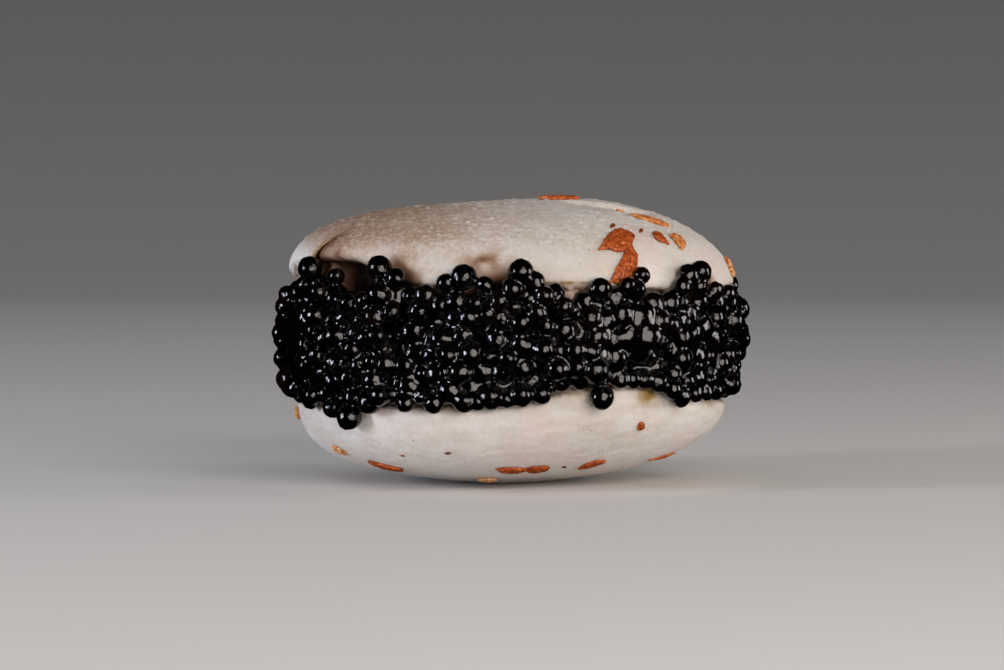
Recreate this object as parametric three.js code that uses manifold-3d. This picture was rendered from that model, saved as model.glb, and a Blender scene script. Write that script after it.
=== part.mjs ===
// A caviar macaron: two pale baked shells with toasted flakes on them, and a thick band of black sturgeon
// caviar between. Millimetres, +Z up. The origin is on the small flat that the macaron rests on, and the
// side that faces -Y is the front. Angles are in degrees from +X towards +Y, seen from above.
import * as THREE from 'three';
import { mergeVertices } from 'three/addons/utils/BufferGeometryUtils.js';
import Module from 'manifold-3d';

const wasm = await Module();
wasm.setup();

// Driving dimensions
const contactGap = 0.3; // left free between pieces that touch
const shellSegments = 40;
const domeShares = [0, 0.3, 0.55, 0.75, 0.88, 0.96, 1]; // steps from crown to rim
const lip = { inset: 0.5, drop: 0.35 }; // the rim's rounded edge

// The crown is where a dome is level. Fullness is the exponent of its outline on the right and the left.
// A toasted flake has a place on the dome, a length and a width, and a turn up towards the crown.
const upperShell = {
  name: 'shell_upper',
  rimRadius: 22.9,
  rimHeight: 20.6,
  crown: { x: 5, radius: 3, height: 29.6 },
  cone: 0.2,
  fullness: { right: 2.1, left: 4 },
  foot: { inset: 1.2, height: 18.7 },
  wobbles: [
    { waves: 2, depth: 0.2, at: 0 },
    { waves: 3, depth: 0.12, at: 50 },
  ],
  lifts: [{ at: -152, height: 2.4, spread: 38 }],
  dents: [
    { at: -146, depth: 1.1, spread: 7, reach: 0.5 },
    { at: -120, depth: 0.8, spread: 7, reach: 0.3 },
  ],
  flakes: [
    { at: -62, share: 0.85, length: 4.2, width: 2.5, turn: 30 },
    { at: -60, share: 0.97, length: 4, width: 2.1, turn: 60 },
    { at: -39, share: 0.6, length: 4.6, width: 2, turn: 0 },
    { at: -42, share: 0.82, length: 2.6, width: 1.4, turn: -60 },
    { at: -36, share: 0.84, length: 2.6, width: 1.8, turn: -50 },
    { at: 0, share: 0.97, length: 3, width: 2.4, turn: 20 },
    { at: -90, share: 0.12, length: 4.6, width: 3, turn: 5 },
    { at: 75, share: 0.8, length: 4.2, width: 2.4, turn: -25 },
    { at: 118, share: 0.62, length: 3, width: 1.8, turn: 50 },
    { at: 165, share: 0.9, length: 3.4, width: 2, turn: 10 },
  ],
};
const lowerShell = {
  name: 'shell_lower',
  rimRadius: 22.2,
  rimHeight: 8.2,
  crown: { x: -1, radius: 4, height: 0 },
  cone: 0.3,
  fullness: { right: 3, left: 5 },
  foot: { inset: 1.2, height: 11 },
  wobbles: [
    { waves: 1, depth: 0.35, at: 180 },
    { waves: 3, depth: 0.12, at: 10 },
  ],
  lifts: [{ at: -62, height: 2.2, spread: 24 }],
  dents: [],
  flakes: [
    { at: -88, share: 0.65, length: 3, width: 1.8, turn: 0 },
    { at: -78, share: 0.62, length: 2.4, width: 2.2, turn: 0 },
    { at: -56, share: 0.63, length: 3, width: 1.6, turn: -15 },
    { at: -96, share: 0.4, length: 2.2, width: 1.8, turn: 0 },
    { at: -12, share: 0.7, length: 2.8, width: 1.6, turn: 30 },
    { at: -138, share: 0.68, length: 3.6, width: 2, turn: 0 },
    { at: -172, share: 0.77, length: 2.2, width: 1.6, turn: 0 },
    { at: 60, share: 0.8, length: 3.4, width: 2, turn: 25 },
    { at: 130, share: 0.6, length: 3, width: 2.2, turn: -30 },
  ],
};
const flake = { sides: 6, proud: 0.3, sunk: 0.6 };
const smallStep = 0.01; // along a dome, to find how it slopes

// The caviar's bead centres lie on a bulging band that swells and sinks on its way round. It leans out over
// the rims at the front, and leaves gaps where it sags under the upper one.
const band = { outsideRims: 0.3, bulge: 0.95, margin: 0.08 };
const clumps = [
  { waves: 5, depth: 0.2, slant: 2 },
  { waves: 9, depth: 0.12, slant: -3 },
  { waves: 14, depth: 0.08, slant: 4 },
];
const overhang = { at: -90, depth: 0.8, spread: 55 };
const sags = [
  { at: -131, height: 1.8, spread: 8 },
  { at: -77, height: 0.8, spread: 5 },
];
const core = { depth: 0.65, segments: 32, steps: 3 };
const beadRadius = { least: 1.05, most: 1.3 };
const cornerReach = 1.08; // how far a bead's few corners stand out from its round form
const beadRows = 5;
const beadsInRow = 48;
const unevenness = { round: 0.25, up: 0.15 }; // shares of the way to the next bead and the next row
const spacing = 1.04; // the share of their touching distance at which beads come to rest
const settlePasses = 30;
const randomSeed = 11;

// Beads that lie on the shells' faces, over the rims
const strayBeads = [
  { at: -148, height: 22.4, across: 2.5 },
  { at: -123, height: 21.9, across: 2.2 },
  { at: -121, height: 20.4, across: 2.2 },
  { at: -102, height: 20.9, across: 2.7 },
  { at: -88, height: 22.4, across: 2.5 },
  { at: -85, height: 20.8, across: 2.2 },
  { at: -70, height: 20.9, across: 2.5 },
  { at: -61, height: 21, across: 2.2 },
  { at: -42, height: 22.2, across: 2.3 },
  { at: -45, height: 20.9, across: 2.3 },
  { at: -137, height: 8.4, across: 2.2 },
  { at: -134, height: 7.5, across: 2.4 },
  { at: -125, height: 8.9, across: 2.4 },
  { at: -105, height: 9, across: 2.3 },
  { at: -69, height: 9.7, across: 2.2 },
  { at: -31, height: 10, across: 2.5 },
  { at: 14, height: 20.4, across: 2.3 },
  { at: 52, height: 8.8, across: 2.3 },
  { at: 85, height: 20.9, across: 2.6 },
  { at: 121, height: 8.8, across: 2.2 },
  { at: 143, height: 21, across: 2.3 },
  { at: 176, height: 9.3, across: 2.4 },
];

const { clamp, degToRad, lerp, seededRandom, smoothstep } = THREE.MathUtils;
seededRandom(randomSeed);
const between = (low, high) => lerp(low, high, seededRandom());

const materials = {
  shell: new THREE.MeshStandardMaterial({ color: 0xd8cec2, roughness: 0.85, metalness: 0 }),
  caviar: new THREE.MeshStandardMaterial({ color: 0x0b0807, roughness: 0.12, metalness: 0 }),
};

// A point round the Z axis
function polar(radius, angle, height) {
  return new THREE.Vector3(radius * Math.cos(angle), radius * Math.sin(angle), height);
}

// A bump of height 1 at one angle, fading over its spread
function bump(angle, at, spread) {
  const apart = Math.atan2(Math.sin(angle - degToRad(at)), Math.cos(angle - degToRad(at)));
  return Math.exp(-((apart / degToRad(spread)) ** 2));
}

// A closed solid from rows of points round the Z axis, lowest row first. The first and last are one point.
function turnedGeometry(rows, segments) {
  const last = rows.length - 1;
  const profile = rows.map((row, i) => new THREE.Vector2(i === 0 || i === last ? 0 : 1, i));
  const geometry = new THREE.LatheGeometry(profile, segments);
  const position = geometry.getAttribute('position');
  for (let i = 0; i < position.count; i += 1) {
    const step = Math.floor(i / rows.length) % segments;
    const point = rows[i % rows.length]((2 * Math.PI * step) / segments);
    position.setXYZ(i, point.x, point.y, point.z);
  }
  return geometry;
}

function solidOf(geometry) {
  const bare = geometry.clone();
  bare.deleteAttribute('normal');
  bare.deleteAttribute('uv');
  const merged = mergeVertices(bare, 1e-4);
  return new wasm.Manifold(
    new wasm.Mesh({
      numProp: 3,
      vertProperties: merged.getAttribute('position').array,
      triVerts: new Uint32Array(merged.getIndex().array),
    }),
  );
}

function meshOf(name, solid, material) {
  const { vertProperties, triVerts } = solid.getMesh();
  const geometry = new THREE.BufferGeometry();
  geometry.setAttribute('position', new THREE.BufferAttribute(vertProperties, 3));
  geometry.setIndex(new THREE.BufferAttribute(triVerts, 1));
  geometry.computeVertexNormals();
  const mesh = new THREE.Mesh(geometry, material);
  mesh.name = name;
  return mesh;
}

// Shells
function rimRadius(shell, angle) {
  const wobble = shell.wobbles.reduce(
    (sum, { waves, depth, at }) => sum + depth * Math.cos(waves * (angle - degToRad(at))),
    0,
  );
  return shell.rimRadius + wobble;
}

function rimHeight(shell, angle) {
  return shell.lifts.reduce(
    (sum, { at, height, spread }) => sum + height * bump(angle, at, spread),
    shell.rimHeight,
  );
}

// The share of a dome's height that is lost from crown to rim: a slight cone with a round shoulder
function domeDrop(shell, angle, share) {
  const side = (1 - Math.cos(angle)) / 2;
  const fullness = lerp(shell.fullness.right, shell.fullness.left, side);
  return shell.cone * share + (1 - shell.cone) * (1 - Math.sqrt(1 - share ** fullness));
}

function domePoint(shell, angle, share, grown = 0) {
  const dent = shell.dents.reduce(
    (sum, { at, depth, spread, reach }) =>
      sum + depth * bump(angle, at, spread) * smoothstep(share, 1 - reach, 1),
    0,
  );
  const { crown } = shell;
  const point = new THREE.Vector3(crown.x, 0, 0).add(polar(crown.radius + grown, angle, 0));
  point.lerp(polar(rimRadius(shell, angle) - dent + grown, angle, 0), share);
  point.z = lerp(crown.height, rimHeight(shell, angle), domeDrop(shell, angle, share));
  return point;
}

// A dome, its rounded lip, and the foot recessed behind it, all grown by the same width
function domeSolid(shell, grown) {
  const facing = Math.sign(shell.crown.height - shell.foot.height);
  const crownHeight = shell.crown.height + facing * grown;
  const footHeight = shell.foot.height - facing * grown;
  const behindRim = (inset) => (angle) =>
    polar(
      rimRadius(shell, angle) - inset + grown,
      angle,
      rimHeight(shell, angle) - facing * (lip.drop + grown),
    );
  const rows = [
    () => new THREE.Vector3(shell.crown.x, 0, crownHeight),
    ...domeShares.map((share) => (angle) => {
      const point = domePoint(shell, angle, share, grown);
      point.z += facing * grown * (1 - share);
      return point;
    }),
    behindRim(lip.inset),
    behindRim(shell.foot.inset),
    (angle) => polar(rimRadius(shell, angle) - shell.foot.inset + grown, angle, footHeight),
    () => new THREE.Vector3(0, 0, footHeight),
  ];
  return solidOf(turnedGeometry(facing > 0 ? rows.reverse() : rows, shellSegments));
}

function flakeSolid(shell, { at, share, length, width, turn }, grown) {
  const angle = degToRad(at);
  const place = domePoint(shell, angle, share);
  const round = domePoint(shell, angle + smallStep, share).sub(place).normalize();
  const inward = domePoint(shell, angle, share - smallStep).sub(place).normalize();
  const out = new THREE.Vector3().crossVectors(round, inward).normalize();
  const along = round.applyAxisAngle(out, degToRad(turn));
  if (shell.crown.height < shell.foot.height) out.negate();
  const height = flake.proud + flake.sunk + grown;
  const geometry = new THREE.CylinderGeometry(0.5, 0.5, height, flake.sides);
  geometry.scale(length + 2 * grown, 1, width + 2 * grown);
  geometry.translate(0, height / 2 - flake.sunk, 0);
  const pose = new THREE.Matrix4().makeBasis(along, out, new THREE.Vector3().crossVectors(along, out));
  geometry.applyMatrix4(pose.setPosition(place));
  return solidOf(geometry);
}

function shellSolid(shell, grown = 0) {
  const flakes = shell.flakes.map((place) => flakeSolid(shell, place, grown));
  return wasm.Manifold.union([domeSolid(shell, grown), ...flakes]);
}

// Caviar
const lowestCaviar = (angle) => rimHeight(lowerShell, angle) + lip.drop + contactGap;
const highestCaviar = (angle) =>
  sags.reduce(
    (sum, { at, height, spread }) => sum - height * bump(angle, at, spread),
    rimHeight(upperShell, angle) - lip.drop - contactGap,
  );

function bandPoint(angle, share, depth = 0) {
  const clump = clumps.reduce(
    (sum, { waves, depth: swell, slant }) => sum + swell * Math.sin(waves * angle + slant * share),
    0,
  );
  const fromRims = 1 - (2 * share - 1) ** 2; // 0 at the rims, 1 midway
  const rims = lerp(rimRadius(lowerShell, angle), rimRadius(upperShell, angle), share);
  const leaning = overhang.depth * bump(angle, overhang.at, overhang.spread) * (1 - fromRims / 2);
  const radius = rims + band.outsideRims + leaning + fromRims * (band.bulge + clump);
  return polar(radius - depth, angle, lerp(lowestCaviar(angle), highestCaviar(angle), share));
}

function bandShare({ z }, angle) {
  const share = (z - lowestCaviar(angle)) / (highestCaviar(angle) - lowestCaviar(angle));
  return clamp(share, band.margin, 1 - band.margin);
}

// The solid middle that the beads are sunk in, before the shells' feet are cut out of it
function coreSolid() {
  const side = Array.from({ length: core.steps + 1 }, (_, i) => i / core.steps);
  return solidOf(
    turnedGeometry(
      [
        () => new THREE.Vector3(0, 0, lowerShell.rimHeight),
        ...side.map((share) => (angle) => bandPoint(angle, share, core.depth)),
        () => new THREE.Vector3(0, 0, upperShell.rimHeight),
      ],
      core.segments,
    ),
  );
}

function rowBeads() {
  const beads = [];
  for (let row = 0; row < beadRows; row += 1) {
    for (let i = 0; i < beadsInRow; i += 1) {
      const step = i + (row % 2) / 2 + between(-unevenness.round, unevenness.round);
      const height = (row + between(-unevenness.up, unevenness.up)) / (beadRows - 1);
      const share = lerp(band.margin, 1 - band.margin, height);
      const radius = between(beadRadius.least, beadRadius.most);
      beads.push({ radius, centre: bandPoint((2 * Math.PI * step) / beadsInRow, share) });
    }
  }
  return beads;
}

// Pushes crowded beads apart, a little at a time, along the band
function settle(beads) {
  for (let pass = 0; pass < settlePasses; pass += 1) {
    beads.forEach((one, i) => {
      beads.slice(i + 1).forEach((other) => {
        const apart = one.centre.distanceTo(other.centre);
        const rest = spacing * (one.radius + other.radius);
        if (apart >= rest) return;
        const push = other.centre.clone().sub(one.centre).setLength((rest - apart) / 2);
        one.centre.sub(push);
        other.centre.add(push);
      });
    });
    beads.forEach(({ centre }) => {
      const angle = Math.atan2(centre.y, centre.x);
      centre.copy(bandPoint(angle, bandShare(centre, angle)));
    });
  }
}

function strays() {
  return strayBeads.map(({ at, height, across }) => {
    const angle = degToRad(at);
    const shell = height > (highestCaviar(angle) + lowestCaviar(angle)) / 2 ? upperShell : lowerShell;
    const radius = across / 2;
    return { radius, centre: polar(rimRadius(shell, angle) + contactGap + radius, angle, height) };
  });
}

// A bead with few sides: one corner points straight out of the band, and the opposite one into the core
function beadSolid({ centre, radius }) {
  const geometry = new THREE.IcosahedronGeometry(cornerReach * radius);
  const corner = new THREE.Vector3().fromBufferAttribute(geometry.getAttribute('position'), 0);
  const outward = new THREE.Vector3(centre.x, centre.y, 0).normalize();
  const pose = new THREE.Quaternion().setFromUnitVectors(corner.normalize(), outward);
  const spin = new THREE.Quaternion().setFromAxisAngle(outward, between(0, 2 * Math.PI));
  geometry.applyQuaternion(spin.multiply(pose));
  geometry.translate(centre.x, centre.y, centre.z);
  return solidOf(geometry);
}

function caviarSolid() {
  const beads = rowBeads();
  settle(beads);
  const heap = wasm.Manifold.union([coreSolid(), ...[...beads, ...strays()].map(beadSolid)]);
  const pieces = heap
    .subtract(shellSolid(lowerShell, contactGap))
    .subtract(shellSolid(upperShell, contactGap))
    .decompose();
  return pieces.sort((a, b) => b.volume() - a.volume())[0];
}

const macaron = new THREE.Group();
macaron.name = 'caviar_macaron';
macaron.add(
  meshOf(lowerShell.name, shellSolid(lowerShell), materials.shell),
  meshOf('caviar', caviarSolid(), materials.caviar),
  meshOf(upperShell.name, shellSolid(upperShell), materials.shell),
);

export default macaron;
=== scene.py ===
# A caviar macaron: two baked meringue shells with toasted flakes on them, and sturgeon roe between.
import functools
import math
import random

import bpy
import numpy as np
from mathutils import Matrix, Vector, noise
from mathutils.bvhtree import BVHTree


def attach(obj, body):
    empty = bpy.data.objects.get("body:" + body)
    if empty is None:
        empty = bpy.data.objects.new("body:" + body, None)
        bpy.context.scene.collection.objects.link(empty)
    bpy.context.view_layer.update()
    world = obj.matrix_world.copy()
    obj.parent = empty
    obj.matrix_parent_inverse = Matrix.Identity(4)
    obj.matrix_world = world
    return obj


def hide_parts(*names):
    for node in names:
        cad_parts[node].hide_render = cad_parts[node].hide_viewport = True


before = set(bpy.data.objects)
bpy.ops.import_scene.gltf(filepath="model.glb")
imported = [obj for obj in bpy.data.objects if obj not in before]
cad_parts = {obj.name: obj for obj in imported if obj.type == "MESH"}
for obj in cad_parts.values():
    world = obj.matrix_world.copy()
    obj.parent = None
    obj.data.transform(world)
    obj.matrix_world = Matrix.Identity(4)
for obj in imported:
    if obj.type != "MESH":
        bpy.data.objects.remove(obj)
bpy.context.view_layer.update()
mm = 0.001  # sizes are in millimetres up to the line that writes them to a mesh


# Small helpers
def enter(mode):
    bpy.ops.object.mode_set(mode=mode)


def selectAll():
    bpy.ops.mesh.select_all(action="SELECT")


def faceAll(inside):  # turns every face that way, and leaves edit mode
    selectAll()
    bpy.ops.mesh.normals_make_consistent(inside=inside)
    enter("OBJECT")


def deselectAll():
    if bpy.context.object and bpy.context.object.mode != "OBJECT":
        enter("OBJECT")
    bpy.ops.object.select_all(action="DESELECT")


def pick(piece):
    deselectAll()
    piece.select_set(True)
    bpy.context.view_layer.objects.active = piece


def applyModifier(piece, kind, **settings):
    pick(piece)
    modifier = piece.modifiers.new(kind.title(), kind)
    for name, value in settings.items():
        setattr(modifier, name, value)
    bpy.ops.object.modifier_apply(modifier=modifier.name)


def readPoints(piece):
    flat = np.empty(len(piece.data.vertices) * 3, dtype=np.float32)
    piece.data.vertices.foreach_get("co", flat)
    return flat.reshape(-1, 3).astype(float) / mm


def readNormals(piece):
    flat = np.empty(len(piece.data.vertices) * 3, dtype=np.float32)
    piece.data.vertices.foreach_get("normal", flat)
    return flat.reshape(-1, 3).astype(float)


def movePoints(piece, points):
    piece.data.vertices.foreach_set("co", (points * mm).astype(np.float32).ravel())
    piece.data.update()


def paint(piece, name, values):
    layer = piece.data.attributes.new(name, "FLOAT", "POINT")
    layer.data.foreach_set("value", np.asarray(values, dtype=np.float32))


def joined(pieces, name):
    deselectAll()
    for piece in pieces:
        piece.select_set(True)
    bpy.context.view_layer.objects.active = pieces[0]
    bpy.ops.object.join()
    pieces[0].name = name
    return pieces[0]


def smoothShaded(piece):
    pick(piece)
    bpy.ops.object.shade_smooth()


def thinned(piece, hidden, share):  # fewer faces where nothing shows them
    pick(piece)
    piece.data.vertices.foreach_set("select", hidden)
    faces = np.array([all(hidden[v] for v in face.vertices) for face in piece.data.polygons])
    edges = np.array([hidden[a] and hidden[b] for a, b in (edge.vertices for edge in piece.data.edges)])
    piece.data.polygons.foreach_set("select", faces)
    piece.data.edges.foreach_set("select", edges)
    enter("EDIT")
    bpy.ops.mesh.decimate(ratio=share)
    enter("OBJECT")


def largestPart(piece):  # drops the crumbs and bubbles that remeshing leaves beside the piece
    name = piece.name
    pick(piece)
    enter("EDIT")
    selectAll()
    bpy.ops.mesh.separate(type="LOOSE")
    enter("OBJECT")
    *crumbs, largest = sorted(bpy.context.selected_objects, key=lambda part: len(part.data.polygons))
    for crumb in crumbs:
        bpy.data.objects.remove(crumb)
    largest.name = name
    return largest


def closedUp(piece):  # takes out stray faces and closes the small holes that thinning leaves
    pick(piece)
    piece.data.validate()
    enter("EDIT")
    selectAll()
    bpy.ops.mesh.dissolve_degenerate(threshold=0.001 * mm)
    bpy.ops.mesh.delete_loose(use_faces=True)
    selectAll()
    bpy.ops.mesh.fill_holes(sides=8)
    enter("OBJECT")


def onTheMacaron(piece, material, node):
    piece.data.materials.clear()
    piece.data.materials.append(material)
    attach(piece, "root")
    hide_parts(node)
    print(piece.name, "has", sum(len(face.vertices) - 2 for face in piece.data.polygons), "triangles")


def smoothStep(value, low, high):
    share = np.clip((value - low) / (high - low), 0, 1)
    return share * share * (3 - 2 * share)


def bump(angle, at, spread):  # 1 at one angle, fading over its spread, in degrees
    apart = (angle - at + 180) % 360 - 180
    return np.exp(-((apart / spread) ** 2))


def spot(angle, height, place, much=1):  # the same, fading up and down as well
    at, middle, spread, tall = place
    return much * bump(angle, at, spread) * np.exp(-(((height - middle) / tall) ** 2))


def angleOf(points):  # round the macaron's axis, in degrees
    return np.degrees(np.arctan2(points[:, 1], points[:, 0]))


def radiusOf(points):
    return np.hypot(points[:, 0], points[:, 1])


def polar(radius, angle, height):
    turn = np.radians(angle)
    return np.stack([radius * np.cos(turn), radius * np.sin(turn), height + 0 * turn], axis=-1)


def lumps(points, size, seed=0):  # smooth noise from -1 to 1 with lumps of that size
    offset = np.array([seed * 17.3, seed * 5.1, -seed * 9.7])
    return np.array([noise.noise(Vector(p)) for p in points / size + offset])


def cells(points, size, seed=0):  # distance to the nearest of many scattered points, in their spacing
    offset = np.array([seed * 13.7, -seed * 3.3, seed * 7.9])
    return np.array([noise.voronoi(Vector(p))[0][0] for p in points / size + offset])


# Materials
def linear(hexColour):  # an sRGB hex colour as the linear numbers that nodes take
    parts = [int(hexColour[i : i + 2], 16) / 255 for i in (1, 3, 5)]
    return [c / 12.92 if c <= 0.04045 else ((c + 0.055) / 1.055) ** 2.4 for c in parts] + [1]


def addNode(tree, kind, links=None, **settings):  # links are input: (node, output)
    node = tree.nodes.new("ShaderNode" + kind)
    for name, value in settings.items():
        if name == "stops":  # of a colour ramp
            while len(node.color_ramp.elements) < len(value):
                node.color_ramp.elements.new(0.5)
            for element, (position, colour) in zip(node.color_ramp.elements, value):
                element.position = position
                element.color = linear(colour)
        elif name == "inputs":
            for key, number in value.items():
                node.inputs[key].default_value = number
        else:
            setattr(node, name, value)
    for key, (source, output) in (links or {}).items():
        tree.links.new(source.outputs[output], node.inputs[key])
    return node


def newMaterial(name):  # with what adds a node to it
    material = bpy.data.materials.new(name)
    material.use_nodes = True
    material.node_tree.nodes.clear()
    return material, functools.partial(addNode, material.node_tree)


def bakedMeringue():
    # Almond meringue, piped and baked: matte and slightly see-through at its edges, with fine pores, pale
    # grains of almond, and browned yellow-brown where it is thin or open; painted shade and painted light are
    # mixed into that browning.
    material, add = newMaterial("baked almond meringue")
    onPiece = {"Vector": (add("TexCoord"), "Object")}
    # browning from the baking, with painted shade and painted light mixed in by bakedShell
    bake = add("Attribute", attribute_name="bake")
    grainy = add("Attribute", attribute_name="grainy")
    drawn = add("Mapping", onPiece, inputs={"Scale": (1, 1, 2)})
    blotches = add("TexNoise", {"Vector": (drawn, "Vector")},
                   inputs={"Scale": 1 / (4 * mm), "Detail": 5, "Roughness": 0.6})
    blushes = add("TexNoise", onPiece, inputs={"Scale": 1 / (6 * mm), "Detail": 3, "Roughness": 0.55})
    grains = add("TexNoise", onPiece, inputs={"Scale": 1 / (0.45 * mm), "Detail": 3, "Roughness": 0.7})
    pores = add("TexVoronoi", onPiece, inputs={"Scale": 1 / (2 * mm), "Randomness": 1})
    blotched = add("Math", {0: (blotches, "Fac")}, operation="MULTIPLY_ADD", inputs={1: 0.3, 2: -0.15})
    baked = add("Math", {0: (bake, "Fac"), 1: (blotched, "Value")}, operation="ADD")
    centred = add("Math", {0: (grains, "Fac")}, operation="SUBTRACT", inputs={1: 0.5})
    contrast = add("Math", {0: (grainy, "Fac")}, operation="MULTIPLY_ADD", inputs={1: 0.55, 2: 0.26})
    grained = add("Math", {0: (centred, "Value"), 1: (contrast, "Value")}, operation="MULTIPLY")
    both = add("Math", {0: (baked, "Value"), 1: (grained, "Value")}, operation="ADD", use_clamp=True)
    colour = add("ValToRGB", {"Fac": (both, "Value")}, stops=[
        (0, "#ebe8e6"), (0.2, "#dad3cd"), (0.42, "#b9a28f"), (0.66, "#8a6650"), (1, "#26130d")])
    blush = add("ValToRGB", {"Fac": (blushes, "Fac")}, stops=[
        (0.35, "#f3efe8"), (0.5, "#f7f5f2"), (0.66, "#f9eeeb")])
    blushed = add("MixRGB", {"Color1": (colour, "Color"), "Color2": (blush, "Color")},
                  blend_type="MULTIPLY", inputs={"Fac": 1})
    stain = add("Attribute", attribute_name="stain")
    stained = add("MixRGB", {"Fac": (stain, "Fac"), "Color1": (blushed, "Color")},
                  blend_type="MULTIPLY", inputs={"Color2": linear("#cbb070")})
    # painted shade: each pore is darker at its middle, where the dimple bump sinks
    poreShade = add("ValToRGB", {"Fac": (pores, "Distance")}, stops=[
        (0, "#7d644c"), (0.05, "#a8927a"), (0.085, "#ffffff")])
    tinted = add("MixRGB", {"Color1": (stained, "Color"), "Color2": (poreShade, "Color")},
                 blend_type="MULTIPLY", inputs={"Fac": 0.5})
    fine = add("TexNoise", onPiece, inputs={"Scale": 1 / (0.22 * mm), "Detail": 4, "Roughness": 0.7})
    dimples = add("Bump", {"Height": (pores, "Distance")}, inputs={"Strength": 0.15, "Distance": 0.1 * mm})
    rough = add("Bump", {"Height": (fine, "Fac"), "Normal": (dimples, "Normal")},
                inputs={"Strength": 0.5, "Distance": 0.12 * mm})
    dull = add("MapRange", {"Value": (fine, "Fac")}, inputs={"To Min": 0.72, "To Max": 0.95})
    shader = add("BsdfPrincipled", {"Base Color": (tinted, "Color"), "Roughness": (dull, "Result"),
                                    "Normal": (rough, "Normal")},
                 inputs={"IOR": 1.45, "Specular IOR Level": 0.35, "Subsurface Weight": 0.12,
                         "Subsurface Radius": (1, 0.6, 0.35), "Subsurface Scale": 0.8 * mm})
    add("OutputMaterial", {"Surface": (shader, "BSDF")})
    return material


def toastedFlake():
    # Toasted nut and onion flakes: caramel orange-brown and slightly oily, their colour mottled pale and dark
    # by the
    # same noise that raises their grains: painted glints and painted shade on the grain.
    material, add = newMaterial("toasted flake")
    onPiece = {"Vector": (add("TexCoord"), "Object")}
    toast = add("Attribute", attribute_name="toast")
    grains = add("TexNoise", onPiece, inputs={"Scale": 1 / (0.35 * mm), "Detail": 4, "Roughness": 0.75})
    grainGlintsAndShade = add("Math", {0: (grains, "Fac")}, operation="MULTIPLY_ADD", inputs={1: 2.4, 2: -1.2})
    both = add("Math", {0: (toast, "Fac"), 1: (grainGlintsAndShade, "Value")}, operation="ADD", use_clamp=True)
    colour = add("ValToRGB", {"Fac": (both, "Value")}, stops=[
        (0, "#efc796"), (0.25, "#d5853c"), (0.5, "#bf5512"), (0.75, "#983e09"), (1, "#4a1d09")])
    rough = add("Bump", {"Height": (grains, "Fac")}, inputs={"Strength": 0.6, "Distance": 0.1 * mm})
    shader = add("BsdfPrincipled", {"Base Color": (colour, "Color"), "Normal": (rough, "Normal")},
                 inputs={"Roughness": 0.48, "IOR": 1.47, "Subsurface Weight": 0.08,
                         "Subsurface Radius": (1, 0.4, 0.15), "Subsurface Scale": 0.4 * mm})
    add("OutputMaterial", {"Surface": (shader, "BSDF")})
    return material


def sturgeonRoe(name, skin):
    # Sturgeon roe in its brine: near black with a red-brown depth, under a smooth wet skin.
    material, add = newMaterial(name)
    onPiece = {"Vector": (add("TexCoord"), "Object")}
    tone = add("Attribute", attribute_name="tone")
    clouds = add("TexNoise", onPiece, inputs={"Scale": 1 / (0.9 * mm), "Detail": 2, "Roughness": 0.5})
    clouded = add("Math", {0: (clouds, "Fac")}, operation="MULTIPLY_ADD", inputs={1: 0.5, 2: -0.25})
    both = add("Math", {0: (tone, "Fac"), 1: (clouded, "Value")}, operation="ADD", use_clamp=True)
    colour = add("ValToRGB", {"Fac": (both, "Value")}, stops=[
        (0, "#030202"), (0.6, "#050303"), (0.9, "#0b0504"), (1, "#140806")])
    waves = add("TexNoise", onPiece, inputs={"Scale": 1 / (0.6 * mm), "Detail": 2, "Roughness": 0.5})
    pressed = add("TexVoronoi", onPiece, feature="DISTANCE_TO_EDGE",
                  inputs={"Scale": 1 / (1.5 * mm), "Randomness": 1})
    facets = add("Bump", {"Height": (pressed, "Distance")},
                 inputs={"Strength": skin["facets"], "Distance": 0.25 * mm})
    uneven = add("Bump", {"Height": (waves, "Fac"), "Normal": (facets, "Normal")},
                 inputs={"Strength": skin["ripple"], "Distance": 0.08 * mm})
    shader = add("BsdfPrincipled", {"Base Color": (colour, "Color"), "Normal": (uneven, "Normal")},
                 inputs={"Roughness": skin["roughness"], "IOR": 1.42, "Specular IOR Level": 0.5,
                         "Coat Weight": skin["coat"], "Coat Roughness": 0.04, "Coat IOR": 1.45})
    add("OutputMaterial", {"Surface": (shader, "BSDF")})
    return material


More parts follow.
